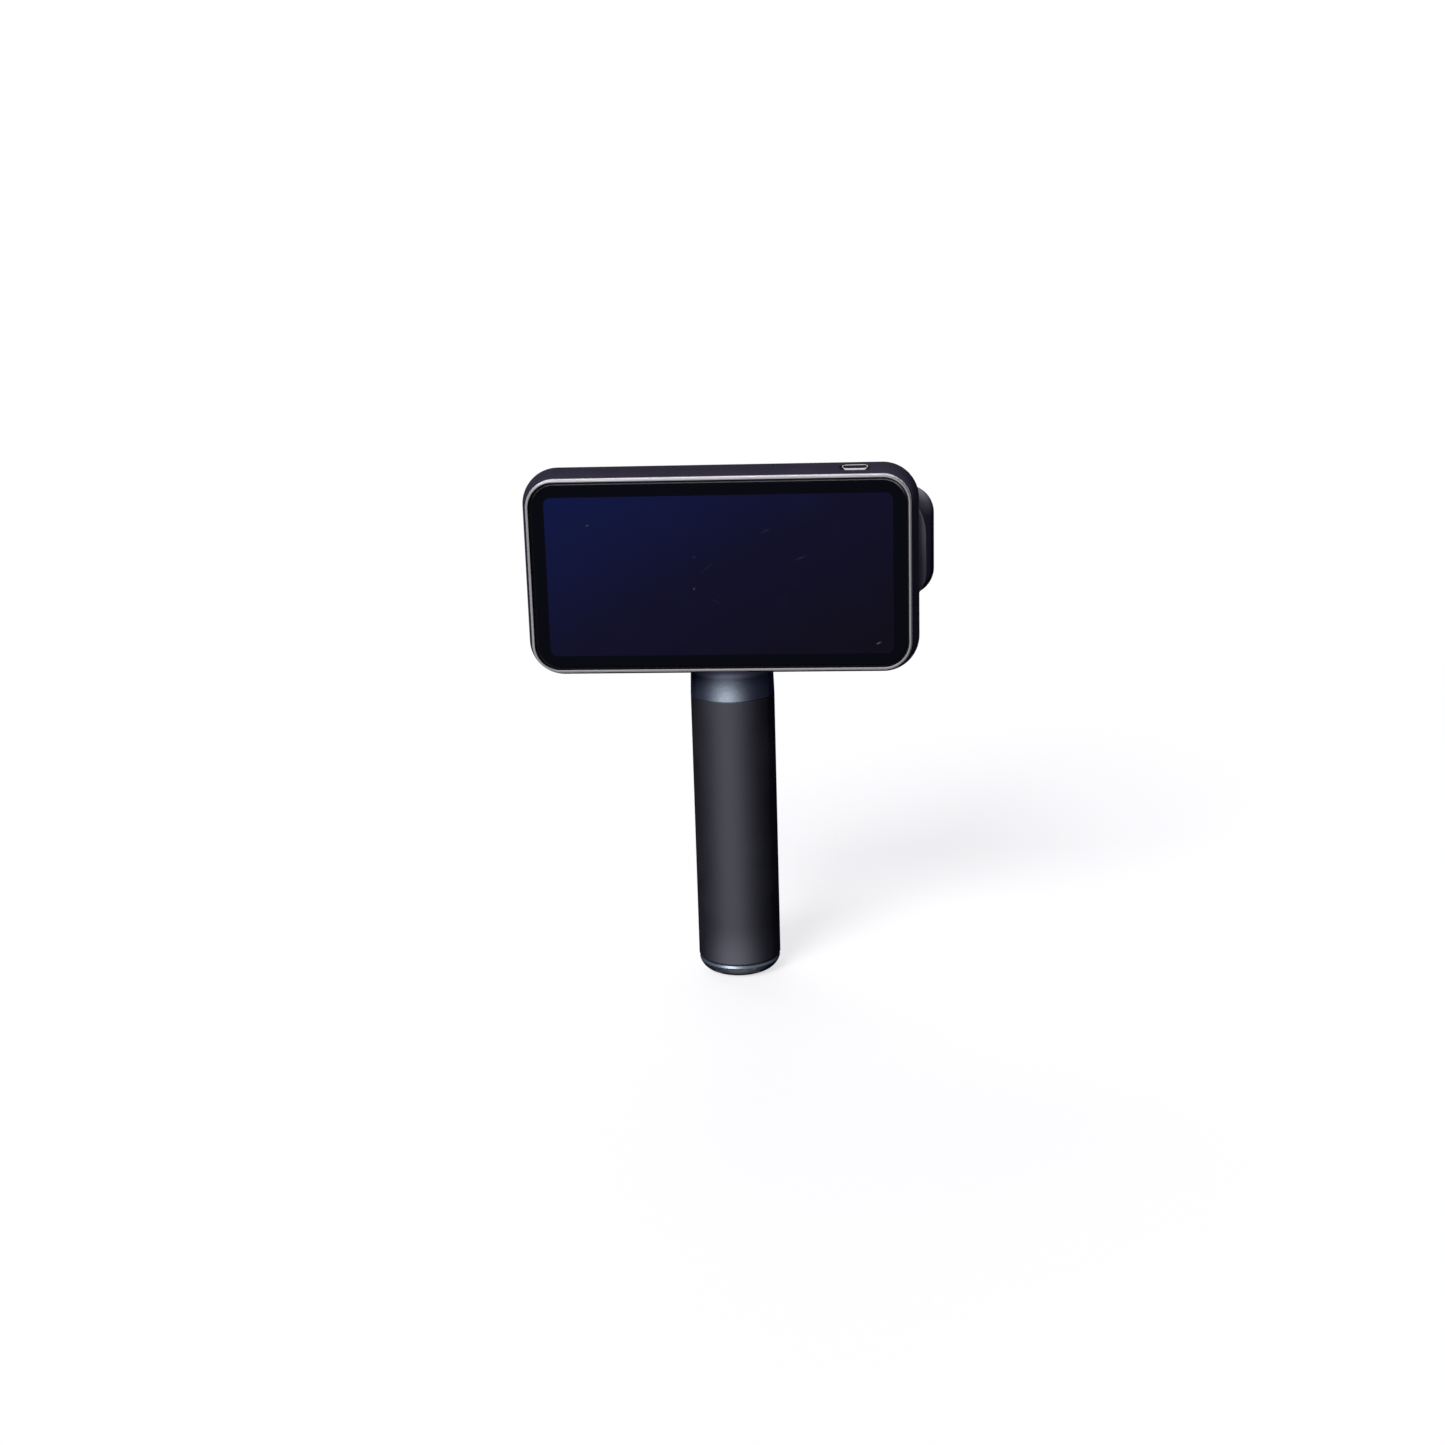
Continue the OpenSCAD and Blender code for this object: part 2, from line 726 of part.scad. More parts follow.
module power_key() {
    color(silver) in_head() {
        intersection() {
            shell_solid(-key_proud, rim_depth);
            translate([key_x, flange_low, key_depth]) rotate([-90, 0, 0])
                linear_extrude(key_over - flange_low) pill(key_len, key_w);
        }
        translate([key_x, flange_low, key_depth]) rotate([-90, 0, 0])
            linear_extrude(flange_t) pill(flange_len, key_w);
    }
}

module key_board() {
    color(board_green) in_head() translate([key_x - key_board_w / 2, rib_top, key_depth - key_board_d / 2])
        cube([key_board_w, key_board_t, key_board_d]);
}

module key_switch() {
    color(soft_black) in_head() translate([key_x, rib_top + key_board_t, key_depth]) {
        translate([-switch_w / 2, 0, -switch_d / 2]) cube([switch_w, switch_h, switch_d]);
        rotate([-90, 0, 0]) cylinder(r = plunger_r, h = switch_h + plunger_h);
    }
}

// Outline of the saddle: a tall rounded rectangle with larger corners above
module saddle_outline() {
    w = pod_w - 2 * saddle_inset;
    top = saddle_h / 2;
    translate([-w / 2, saddle_low_r - top]) square([w, saddle_h - saddle_low_r - saddle_top_r]);
    translate([saddle_low_r - w / 2, -top]) square([w - 2 * saddle_low_r, saddle_h / 2]);
    translate([saddle_top_r - w / 2, 0]) square([w - 2 * saddle_top_r, top]);
    for (x = [-1, 1]) {
        translate([x * (w / 2 - saddle_top_r), top - saddle_top_r]) circle(saddle_top_r);
        translate([x * (w / 2 - saddle_low_r), saddle_low_r - top]) circle(saddle_low_r);
    }
}

module antenna_base() {
    color(saddle_grey) difference() {
        in_pod() translate([0, 0, saddle_front]) linear_extrude(pod_front - saddle_front) saddle_outline();
        in_head() shell_solid(-fit_gap, rim_depth);
        in_pod() translate([0, 0, saddle_front - eps]) pod_holes(pod_front - saddle_front + 2 * eps);
    }
}

// Cross-section of the pod: a flat disc with a full round edge, cut between two depths
module pod_profile(inset, z0, z1) {
    intersection() {
        union() {
            translate([pod_r - pod_edge, pod_mid]) circle(pod_edge - inset);
            translate([0, pod_front + inset]) square([pod_r - pod_edge, 2 * (pod_edge - inset)]);
        }
        translate([0, z0]) square([pod_r, z1 - z0]);
    }
}

module pod_solid(inset, z0, z1) {
    low = max(z0, pod_front + inset);
    high = min(z1, pod_back - inset);
    slab(pod_w, pod_h, pod_r, low, high) pod_profile(inset, z0, z1);
}

module antenna_front() {
    color(shell_dark) in_pod() difference() {
        union() {
            difference() {
                pod_solid(0, pod_front, pod_mid);
                pod_solid(pod_wall, pod_front, pod_mid + eps);
            }
            for (p = pod_screw_places) translate([p[0], p[1], pod_front])
                cylinder(r = pod_boss_r, h = pod_boss_h);
        }
        for (p = pod_screw_places) translate([p[0], p[1], pod_front - eps])
            cylinder(r = pilot_r, h = pod_edge);
        translate([pod_lead_x, 0, pod_front - eps]) cylinder(r = lead_hole_r, h = pod_edge);
    }
}

module antenna_back() {
    color(shell_dark) in_pod() difference() {
        pod_solid(0, pod_mid, pod_back);
        pod_solid(pod_wall, pod_mid - eps, pod_back);
        translate([0, 0, pod_back - target_depth]) difference() {
            cylinder(r = target_r, h = target_depth + eps);
            translate([0, 0, -eps]) cylinder(r = target_r - target_w, h = target_depth + 3 * eps);
        }
    }
}

module antenna_screws() {
    color(steel) in_pod() for (p = pod_screw_places) translate([p[0], p[1], back_inner])
        mirror([0, 0, 1]) screw(back_inner - pod_screw_tip, 0, screw_r, screw_head_r, screw_head_h);
}

module reader_board() {
    color(board_green) in_pod()
        plate(pod_board_w, pod_board_h, pod_board_r, pod_board_front, pod_board_back);
}

module bobbin_plate(inset, z0, z1) {
    plate(bobbin_w - 2 * inset, bobbin_h - 2 * inset, bobbin_r - inset, z0, z1);
}

module antenna_bobbin() {
    color(soft_black) in_pod() difference() {
        union() {
            bobbin_plate(core_in, pod_board_back, bobbin_back);
            bobbin_plate(0, pod_board_back, pod_board_back + bobbin_flange);
            bobbin_plate(0, bobbin_back - bobbin_flange, bobbin_back);
        }
        bobbin_plate(core_in + core_wall, pod_board_back - eps, bobbin_back + eps);
    }
}

module antenna_coil() {
    low = pod_board_back + bobbin_flange + fit_gap;
    high = bobbin_back - bobbin_flange - fit_gap;
    color([0.62, 0.32, 0.16]) in_pod() difference() {
        bobbin_plate(coil_in, low, high);
        bobbin_plate(core_in - fit_gap, low - eps, high + eps);
    }
}

module ferrite_core() {
    color([0.22, 0.22, 0.23]) in_pod()
        bobbin_plate(core_in + core_wall + ferrite_gap, pod_board_back, pod_board_back + ferrite_len);
}

module antenna_lead() {
    x0 = pod_x + pod_lead_x;
    color([0.65, 0.12, 0.10]) in_head() translate([0, pod_lift, 0]) {
        translate([x0, 0, lead_turn]) cylinder(r = lead_r, h = pod_board_front - lead_turn);
        translate([x0, 0, lead_turn]) sphere(lead_r);
        translate([lead_end_x, 0, lead_turn]) rotate([0, 90, 0]) cylinder(r = lead_r, h = x0 - lead_end_x);
        translate([lead_end_x, 0, lead_turn]) sphere(lead_r);
        translate([lead_end_x, 0, board_back]) cylinder(r = lead_r, h = lead_turn - board_back);
    }
}

module handle_collar() {
    chamfer = 0.3;
    color(collar_grey) difference() {
        rotate_extrude() polygon([[0, collar_low], [grip_r - chamfer, collar_low],
            [grip_r, collar_low + chamfer], [neck_r, collar_top], [spigot_r, collar_top],
            [spigot_r, spigot_top], [0, spigot_top]]);
        translate([0, 0, collar_low - eps]) cylinder(r = tube_r + fit_gap, h = tube_seat + eps);
        translate([0, 0, tube_top - eps]) cylinder(r = passage_r, h = spigot_top);
        for (z = neck_screw_z) translate([0, 0, z]) rotate([-90, 0, 0]) cylinder(r = pilot_r, h = grip_r);
    }
}

module neck_screws() {
    color(steel) for (z = neck_screw_z) translate([0, 0, z]) rotate([-90, 0, 0])
        screw(neck_head_y - neck_screw_len, neck_head_y, screw_r, screw_head_r, screw_head_h);
}

module grip_sleeve() {
    chamfer = 0.4;
    inner = tube_r + fit_gap;
    color(grip_grey) rotate_extrude() polygon([[inner, sleeve_low], [grip_r - chamfer, sleeve_low],
        [grip_r, sleeve_low + chamfer], [grip_r, collar_low - chamfer], [grip_r - chamfer, collar_low],
        [inner, collar_low]]);
}

module handle_tube() {
    slot_w = 2 * (bore_r + lug_out) * sin(lug_angle / 2) + 2 * lug_gap;
    groove_r = bore_r + lug_out + lug_gap;
    color(steel) difference() {
        translate([0, 0, ring_top]) cylinder(r = tube_r, h = tube_top - ring_top);
        translate([0, 0, ring_top - eps]) cylinder(r = bore_r, h = tube_top);
        translate([0, 0, lug_low - lug_gap]) cylinder(r = groove_r, h = lug_h + 2 * lug_gap);
        intersection() {
            translate([0, 0, ring_top - eps]) cylinder(r = groove_r, h = lug_low - ring_top + eps);
            rotate(cap_turn) translate([-groove_r, -slot_w / 2, 0]) cube([2 * groove_r, slot_w, lug_low]);
        }
    }
}

module contact_holder() {
    color(soft_black) difference() {
        translate([0, 0, holder_low]) cylinder(r = bore_r - fit_gap, h = holder_h);
        translate([0, 0, holder_low - eps]) cylinder(r = pin_r + fit_gap, h = holder_h + 2 * eps);
    }
}

module contact_pin() {
    color(brass) {
        translate([0, 0, cell_top]) cylinder(r = pin_r, h = holder_top - cell_top);
        translate([0, 0, cell_top]) cylinder(r = 2 * pin_r, h = pin_head_h);
    }
}

module power_lead() {
    plug_y = board_back - glass_ahead;
    run = -plug_y - plug_t + eps;
    color([0.65, 0.12, 0.10]) {
        translate([0, 0, holder_top]) cylinder(r = power_r, h = power_turn_z - holder_top);
        translate([0, 0, power_turn_z]) sphere(power_r);
        translate([0, 0, power_turn_z]) rotate([90, 0, 0]) cylinder(r = power_r, h = run);
        translate([-plug_w / 2, plug_y, power_turn_z - plug_h / 2]) cube([plug_w, plug_t, plug_h]);
    }
}

module battery_cell() {
    color([0.20, 0.45, 0.30]) translate([0, 0, cell_low]) cylinder(r = cell_d / 2, h = cell_len);
}

module battery_spring() {
    color(steel) translate([0, 0, stem_top]) rotate_extrude()
        polygon([[spring_wide - spring_wire, 0], [spring_wide, 0], [spring_narrow, spring_len],
            [spring_narrow - spring_wire, spring_len]]);
}

// Radius of the rounded foot at a height
function foot_radius(z) = grip_r - base_round + sqrt(pow(base_round, 2) - pow(base_round - z, 2));

module foot_outline(z0, z1) {
    intersection() {
        union() {
            translate([grip_r - base_round, base_round]) circle(base_round);
            square([grip_r - base_round, z1]);
            translate([0, base_round]) square([grip_r, z1]);
        }
        translate([0, z0]) square([grip_r, z1 - z0]);
    }
}

module base_ring() {
    r = foot_radius(bevel_low);
    color(silver) difference() {
        union() {
            rotate_extrude() intersection() {
                foot_outline(ring_low, ring_top);
                polygon([[0, ring_low], [r, ring_low], [r, bevel_low],
                    [r - ring_bevel * tan(bevel_angle), ring_top], [0, ring_top]]);
            }
            translate([0, 0, ring_top]) cylinder(r = grip_r - 2 * ring_groove, h = ring_groove);
        }
        translate([0, 0, ring_low - eps]) cylinder(r = bore_r + lug_out + lug_gap, h = ring_h + 2 * eps);
        translate([0, 0, ring_top]) cylinder(r = tube_r + fit_gap, h = ring_groove + eps);
    }
}

module base_cap() {
    seal_in = stem_r - 2 * seal_r;
    lug_w = 2 * bore_r * sin(lug_angle / 2);
    color([0.22, 0.26, 0.31]) difference() {
        union() {
            rotate_extrude() foot_outline(foot_proud, cap_h);
            translate([0, 0, cap_h - eps]) cylinder(r = stem_r, h = stem_top - cap_h + eps);
            intersection() {
                translate([0, 0, lug_low]) cylinder(r = bore_r + lug_out, h = lug_h);
                translate([-grip_r, -lug_w / 2, lug_low]) cube([2 * grip_r, lug_w, lug_h]);
            }
        }
        for (i = [0 : notch_count - 1]) rotate((i + 0.5) * 360 / notch_count - 90)
            translate([foot_radius(notch_h), 0, -eps]) cylinder(r = notch_r, h = notch_h + eps);
        translate([0, 0, -eps]) cylinder(r = foot_r + fit_gap, h = foot_t + eps);
        translate([0, 0, seal_z - seal_r]) difference() {
            cylinder(r = bore_r, h = 2 * seal_r);
            translate([0, 0, -eps]) cylinder(r = seal_in, h = 2 * seal_r + 2 * eps);
        }
    }
}

module base_seal() {
    color(soft_black) translate([0, 0, seal_z]) rotate_extrude()
        translate([stem_r - seal_r, 0]) circle(seal_r - fit_gap);
}

module foot_pad() {
    color(soft_black) cylinder(r = foot_r, h = foot_t);
}

front_bezel();
cover_glass();
glass_gasket();
display_panel();
display_flex();
mid_frame();
main_board();
processor_shield();
board_screws();
speaker();
usb_port();
rear_housing();
housing_screws();
power_key();
key_board();
key_switch();
antenna_base();
antenna_front();
antenna_back();
antenna_screws();
reader_board();
antenna_bobbin();
antenna_coil();
ferrite_core();
antenna_lead();
handle_collar();
neck_screws();
grip_sleeve();
handle_tube();
contact_holder();
contact_pin();
power_lead();
battery_cell();
battery_spring();
base_ring();
base_cap();
base_seal();
foot_pad();
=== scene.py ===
"""Looks of the handheld microchip scanner: materials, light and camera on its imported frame."""

import math

import bpy
from mathutils import Matrix, Vector


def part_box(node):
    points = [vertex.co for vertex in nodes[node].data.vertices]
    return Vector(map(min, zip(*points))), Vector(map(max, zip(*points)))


MM = 0.001
RIGHT, UP = 0, 2
WHITE = (1, 1, 1, 1)
# Parts of a noise's usual range: nearly all of it, its middle, most of it and its upper part
ALL, MIDDLE, MOST, UPPER = (0.3, 0.7), (0.35, 0.65), (0.35, 0.7), (0.4, 0.7)
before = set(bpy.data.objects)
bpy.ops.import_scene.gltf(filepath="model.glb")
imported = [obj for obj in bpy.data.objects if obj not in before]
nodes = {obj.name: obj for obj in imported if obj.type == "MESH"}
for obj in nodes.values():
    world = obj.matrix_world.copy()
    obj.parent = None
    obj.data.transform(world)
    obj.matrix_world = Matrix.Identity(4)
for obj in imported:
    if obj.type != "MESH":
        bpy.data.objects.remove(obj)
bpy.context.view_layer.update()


def mm(*values):
    """Millimetres as a tuple of metres."""
    return tuple(v * MM for v in values)


def srgb(r, g, b):
    """A colour given as 0 to 255 screen values, as Blender's linear colour."""
    def linear(v):
        v /= 255
        return v / 12.92 if v <= 0.04045 else ((v + 0.055) / 1.055) ** 2.4
    return (linear(r), linear(g), linear(b), 1.0)


def flat(box, axes):
    """Middle and size of a box along two axes, such as xz for its front."""
    ends = [(getattr(box[0], axis), getattr(box[1], axis)) for axis in axes]
    return [(low + high) / 2 for low, high in ends], [high - low for low, high in ends]


class Graph:
    """A node tree, with short calls for the nodes used below."""

    def __init__(self, tree):
        self.tree = tree

    def add(self, kind, **settings):
        node = self.tree.nodes.new(kind)
        for key, value in settings.items():
            setattr(node, key, value)
        return node

    def feed(self, socket, value):
        """Links a socket, or sets it where the value is constant."""
        if isinstance(value, bpy.types.NodeSocket):
            self.tree.links.new(value, socket)
        else:
            socket.default_value = value

    def math(self, operation, a, b=0.0):
        node = self.add("ShaderNodeMath", operation=operation)
        self.feed(node.inputs[0], a)
        self.feed(node.inputs[1], b)
        return node.outputs[0]

    def times(self, a, b):
        return self.math("MULTIPLY", a, b)

    def less(self, a, b):
        return self.math("SUBTRACT", a, b)

    def split(self, vector):
        """X, Y and Z of a vector."""
        node = self.add("ShaderNodeSeparateXYZ")
        self.feed(node.inputs[0], vector)
        return node.outputs

    def span(self, value, low, high, out_low=0.0, out_high=1.0, smooth=False):
        """Maps low..high to out_low..out_high, held at the ends."""
        node = self.add("ShaderNodeMapRange")
        if smooth:
            node.interpolation_type = "SMOOTHSTEP"
        for socket, v in zip(node.inputs, (value, low, high, out_low, out_high)):
            self.feed(socket, v)
        return node.outputs[0]

    def mix(self, factor, a, b):
        """A colour between two others."""
        node = self.add("ShaderNodeMix", data_type="RGBA")
        self.feed(node.inputs[0], factor)
        self.feed(node.inputs[6], a)
        self.feed(node.inputs[7], b)
        return node.outputs[2]

    def blend(self, factor, a, b):
        """A shader between two others."""
        node = self.add("ShaderNodeMixShader")
        for socket, value in zip(node.inputs, (factor, a, b)):
            self.feed(socket, value)
        return node.outputs[0]

    def diffuse(self, grey):
        node = self.add("ShaderNodeBsdfDiffuse")
        node.inputs[0].default_value = (grey, grey, grey, 1)
        return node.outputs[0]

    def seen_ray(self):
        """1 for camera, glossy and transmission rays, so that all of these show the background."""
        path = self.add("ShaderNodeLightPath").outputs
        value = path["Is Camera Ray"]
        for kind in ("Is Glossy Ray", "Is Transmission Ray"):
            value = self.math("MAXIMUM", value, path[kind])
        return value


class Skin(Graph):
    """A new material, with the patterns that the looks below are made of."""

    def __init__(self, name):
        self.material = bpy.data.materials.new(name)
        self.material.use_nodes = True
        super().__init__(self.material.node_tree)
        self.shader = self.tree.nodes["Principled BSDF"]
        self.place = self.add("ShaderNodeTexCoord").outputs["Object"]
        self.x, self.y, self.z = self.split(self.place)

    def set(self, **values):
        """Sets or links the shader's inputs, named with _ for a space."""
        for key, value in values.items():
            self.feed(self.shader.inputs[key.replace("_", " ")], value)

    def satin(self, base, share):
        """A dark satin skin: part of it gleams like metal, and none of it turns white at its rim."""
        self.set(Base_Color=base, Metallic=share, Specular_IOR_Level=0.0, Specular_Tint=(0, 0, 0, 1))

    def rough(self, noise, low, high):
        self.set(Roughness=self.span(noise, *ALL, low, high))

    def relief(self, height, depth_mm):
        """Fine relief of the surface."""
        node = self.add("ShaderNodeBump")
        node.inputs["Strength"].default_value = 1.0
        node.inputs["Distance"].default_value = depth_mm * MM
        self.feed(node.inputs["Height"], height)
        self.set(Normal=node.outputs[0])

    def noise(self, per_mm, detail=2.0, stretch=(1, 1, 1)):
        """Noise from 0 to 1 with about per_mm grains in a millimetre, stretched by a factor per axis."""
        place = self.add("ShaderNodeVectorMath", operation="MULTIPLY")
        self.feed(place.inputs[0], self.place)
        place.inputs[1].default_value = stretch
        node = self.add("ShaderNodeTexNoise")
        self.feed(node.inputs["Vector"], place.outputs[0])
        node.inputs["Scale"].default_value = per_mm / MM
        node.inputs["Detail"].default_value = detail
        return node.outputs[0]

    def flecked(self, base, other, noise, part, share):
        """A colour that turns to another by a share, over a part of the noise's range."""
        return self.mix(self.span(noise, *part, 0.0, share), base, other)

    def brushed(self, drawn, colour, darker):
        """Colour of drawn metal: its lines and a soft cloudiness."""
        base = self.flecked(colour, darker, drawn, ALL, 0.6)
        return self.flecked(base, darker, self.noise(0.08, 2.0), UPPER, 0.35)

    def edges(self, radius_mm, sharp):
        """1 on the part's edges and 0 on its faces."""
        bevel = self.add("ShaderNodeBevel", samples=6)
        bevel.inputs["Radius"].default_value = radius_mm * MM
        dot = self.add("ShaderNodeVectorMath", operation="DOT_PRODUCT")
        self.feed(dot.inputs[0], bevel.outputs[0])
        self.feed(dot.inputs[1], self.add("ShaderNodeNewGeometry").outputs["Normal"])
        return self.span(dot.outputs["Value"], 1.0, sharp)

    def facing(self, axis, low, high):
        """0 to 1 as the surface turns to the right or up, between two shares of its normal."""
        normal = self.split(self.add("ShaderNodeNewGeometry").outputs["Normal"])
        return self.span(normal[axis], low, high, smooth=True)

    def band(self, value, middle, half, soft):
        """1 where value is within half of middle, soft at its ends. All in metres."""
        away = self.math("ABSOLUTE", self.less(value, middle))
        return self.span(away, half, half + soft, 1.0, 0.0, smooth=True)

    def bell(self, *offsets):
        """A soft spot: 1 where every offset is 0, about 0.6 where one of them is 1."""
        squares = [self.times(v, v) for v in offsets]
        total = squares[0]
        for square in squares[1:]:
            total = self.math("ADD", total, square)
        return self.math("EXPONENT", self.times(total, -0.5))

    def offset(self, value, middle, spread):
        return self.math("DIVIDE", self.less(value, middle), spread)

    def round_handle(self, degrees, spread):
        """A soft upright band on the handle, at an angle from its front towards the right."""
        angle = self.math("ARCTAN2", self.x, self.times(self.y, -1.0))
        return self.bell(self.offset(angle, math.radians(degrees), math.radians(spread)))

    def outline(self, plane, middle, size, radius):
        """Distance outside a rounded rectangle in a plane, given by its two coordinates, in metres."""
        past = []
        for value, centre, length in zip(plane, middle, size):
            away = self.math("ABSOLUTE", self.less(value, centre))
            past.append(self.math("MAXIMUM", self.less(away, length / 2 - radius), 0.0))
        squares = [self.times(p, p) for p in past]
        return self.less(self.math("SQRT", self.math("ADD", *squares)), radius)


def plastic(name, colour, lighter, rough, satin, seam_y=None, top_sheen=None, painted_top=None):
    """Metallic-painted plastic with a fine spark grain, uneven tone and worn edges.

    It can have a seam at a depth, a painted highlight on faces that turn up, and painted light towards its top:
    from and to a height, its colour and share.
    """
    seam_half, seam_depth = 0.10 * MM, 12.0
    g = Skin(name)
    grain = g.noise(4.5, 3.0)
    tone = g.noise(0.05, 3.0)
    lightened = g.times(g.edges(0.7, 0.9), g.span(g.noise(0.35, 4.0), *MOST))
    base = g.flecked(colour, lighter, tone, MIDDLE, 0.5)
    base = g.flecked(base, lighter, grain, UPPER, 0.25)
    base = g.mix(g.times(lightened, 0.4), base, lighter)
    if top_sheen:
        # Painted highlight: paler where the part faces up
        sheen_up = g.times(g.facing(UP, 0.35, 1.0), g.span(tone, *ALL, 0.85, 1.0))
        base = g.mix(sheen_up, base, top_sheen)
    if painted_top:
        # Painted light: paler towards the top
        low, high, pale, share = painted_top
        base = g.mix(g.span(g.z, low, high, 0.0, share, smooth=True), base, pale)
    height = grain
    if seam_y is not None:
        seam = g.band(g.y, seam_y, seam_half, seam_half)
        base = g.mix(g.times(seam, 0.8), base, srgb(4, 4, 6))
        height = g.less(grain, g.times(seam, seam_depth))
    g.satin(base, satin)
    g.set(Roughness=g.span(g.math("ADD", tone, g.times(grain, 0.4)), 0.4, 1.0, rough - 0.05, rough + 0.07))
    g.relief(height, 0.012)
    return g.material


def metal(name, colour, darker, rough, stretch=(1, 1, 1), per_mm=1.5, scratch_mm=0.004):
    """Satin metal with fine drawn lines and a soft unevenness."""
    g = Skin(name)
    drawn = g.noise(per_mm, 4.0, stretch)
    g.set(Base_Color=g.brushed(drawn, colour, darker), Metallic=1.0)
    g.rough(drawn, rough - 0.05, rough + 0.07)
    g.relief(drawn, scratch_mm)
    return g.material


def bezel_metal(name, colour, darker, top, dark, rough, share):
    """Satin frame around the glass: a painted highlight on top, painted shade on its right rounding and painted
    shade blackening its inner wall.
    """
    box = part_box("front_bezel")
    front = box[0].y
    corner = 11 * MM
    inner_wall = mm(-0.98, -1.02)
    inner_from, inner_to = front + 0.25 * MM, front + 0.4 * MM
    rounding_end, side_start = front + 0.6 * MM, front + 0.75 * MM
    g = Skin(name)
    drawn = g.noise(6.0, 4.0)
    # Painted highlight: the top colour where the frame faces up
    base = g.mix(g.facing(UP, 0.5, 0.95), g.brushed(drawn, colour, darker), top)
    # Painted shade: dark and less metallic on the rounding of its right side
    right_shade = g.times(g.facing(RIGHT, 0.2, 0.55), g.span(g.y, rounding_end, side_start, 0.75, 0.0))
    rim = g.outline((g.x, g.z), *flat(box, "xz"), corner)
    # Painted shade: the inner wall by the glass is dark and dull
    inner = g.times(g.span(rim, *inner_wall), g.span(g.y, inner_from, inner_to))
    # All painted shade on the frame: dark colour, no metal share and less gloss
    black = g.math("MAXIMUM", inner, right_shade)
    g.set(Base_Color=g.mix(black, base, dark), Metallic=g.span(black, 0.0, 1.0, share, 0.0))
    g.set(Specular_IOR_Level=g.span(black, 0.0, 1.0, 0.5, 0.2))
    g.rough(drawn, rough - 0.05, rough + 0.07)
    g.relief(drawn, 0.001)
    return g.material


def foot_ring(name, dull, darker, bright):
    """Turned ring with a painted highlight in front, brighter and more metallic there, fading towards its sides."""
    angle, spread = 2, 30
    g = Skin(name)
    drawn = g.noise(5.0, 4.0, (1, 1, 0.2))
    base = g.flecked(dull, darker, drawn, ALL, 0.6)
    # Painted highlight: the bright colour and a higher metal share in front
    front = g.round_handle(angle, spread)
    g.satin(g.mix(front, base, bright), g.span(front, 0.0, 1.0, 0.3, 1.0))
    g.rough(drawn, 0.35, 0.47)
    g.relief(drawn, 0.002)
    return g.material


def cut_key(name, dark, bright):
    """Machined key: a dark dyed face with bright, freshly cut sides and rim, and a painted highlight across the
    back of its face.
    """
    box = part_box("power_key")
    back = box[1].y
    middle, (_, width) = flat(box, "xy")
    rim_line = mm(-0.24, -0.16)
    highlight_from, highlight_to = back - 0.48 * MM, back - 0.36 * MM
    g = Skin(name)
    drawn = g.noise(5.0, 3.0, (0.15, 1, 1))
    rim = g.outline((g.x, g.y), middle, (KEY_LENGTH, width), width / 2)
    face = g.times(g.facing(UP, 0.6, 0.8), g.span(rim, *rim_line, 1.0, 0.0))
    # Painted highlight: the back of the face keeps the bright colour
    face = g.times(face, g.span(g.y, highlight_from, highlight_to, 1.0, 0.0))
    g.satin(g.mix(face, g.flecked(bright, dark, drawn, ALL, 0.15), dark), g.less(1.0, g.times(face, 0.7)))
    g.rough(drawn, 0.22, 0.32)
    return g.material


def anodised(name, colour, lighter, bare_and_highlight, rough, satin, lightened, share=1.0, chipped=1.0, nicked=None,
             painted_top=None):
    """Bead-blasted, dyed metal: a dark satin skin, chipped to raw metal on its edges, with a painted highlight as a
    pale spot in front.

    The painted highlight is given by its place and spread in X and Z, nicked is a height under which the edges have
    more chips, and the last argument gives painted light rising towards the top front: from and to a height, and
    its colour.
    """
    nick_fade = 0.4 * MM
    side_y, front_y = mm(0.0, -6)
    top_share, top_angle, top_spread = 0.4, -2, 32
    g = Skin(name)
    blast = g.noise(3.0, 3.0)
    base = g.flecked(colour, lighter, blast, MOST, 0.5)
    base = g.flecked(base, lighter, g.noise(0.12, 3.0), MOST, 0.3)
    worn = g.times(g.edges(0.3, 0.85), g.span(g.noise(0.5, 3.0), 0.56, 0.68))
    base = g.mix(g.times(worn, chipped), base, bare_and_highlight)
    if nicked:
        chips = g.times(g.edges(0.5, 0.9), g.span(g.z, nicked, nicked - nick_fade))
        base = g.mix(g.times(chips, g.span(g.noise(1.1, 2.0), 0.5, 0.6, 0.0, 0.75)), base, bare_and_highlight)
    # Painted highlight: a pale spot on the front, grained like the blasting
    (x, z), (wide, high) = lightened
    spot = g.bell(g.offset(g.x, x, wide), g.offset(g.z, z, high))
    spot = g.times(spot, g.span(g.y, side_y, front_y, 0.0, share))
    spot = g.times(spot, g.span(g.noise(0.9, 2.0), *ALL, 0.84, 1.06))
    base = g.mix(g.times(spot, g.span(blast, *ALL, 0.75, 1.0)), base, bare_and_highlight)
    # Painted light: paler towards the top front, where the head's shadow falls
    if painted_top:
        low, high, pale = painted_top
        rise = g.span(g.z, low, high, 0.0, top_share, smooth=True)
        base = g.mix(g.times(rise, g.round_handle(top_angle, top_spread)), base, pale)
    g.satin(base, satin)
    g.rough(blast, rough - 0.06, rough + 0.06)
    g.relief(blast, 0.012)
    return g.material


def rubber(name, colour, lighter, rough, specular, per_mm=3.0, grain_mm=0.02):
    """Matte rubber with a fine pebbled skin and a few paler rubbed patches."""
    g = Skin(name)
    pebble = g.noise(per_mm, 3.0)
    cloud = g.noise(0.06, 3.0)
    base = g.flecked(colour, lighter, pebble, MOST, 0.5)
    g.set(Base_Color=g.flecked(base, lighter, cloud, UPPER, 0.4), Specular_IOR_Level=specular)
    g.rough(cloud, rough - 0.05, rough + 0.05)
    g.relief(pebble, grain_mm)
    return g.material


